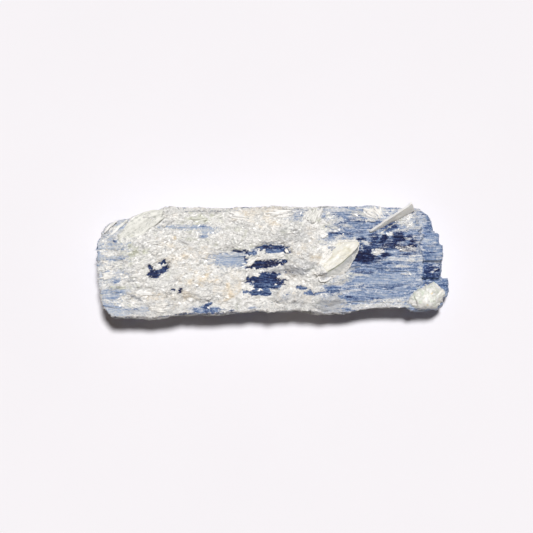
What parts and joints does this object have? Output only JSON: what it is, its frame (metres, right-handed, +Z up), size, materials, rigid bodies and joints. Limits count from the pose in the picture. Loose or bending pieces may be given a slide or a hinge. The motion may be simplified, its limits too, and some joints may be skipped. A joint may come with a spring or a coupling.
{
  "type": "kyanite blade cluster",
  "caption": "Natural bundle of parallel blue kyanite blades, half buried in a white mica and quartz crust, that lies on a flat cleavage face.",
  "frame": {"origin": "centre of the bounding box's bottom face, on the flat cleavage face that the piece rests on", "axes": "+X along the blades towards their broken, stepped tips, +Y across the blades towards the back, +Z up"},
  "size_m": [0.09, 0.029, 0.0146],
  "materials": {
    "kyanite_and_crust": "streaky light to navy blue kyanite with a pearly lustre, under flaky white to cream mica and granular quartz"
  },
  "bodies": {
    "root": {"kyanite_blade_cluster": "kyanite_and_crust"}
  },
  "joints": []
}
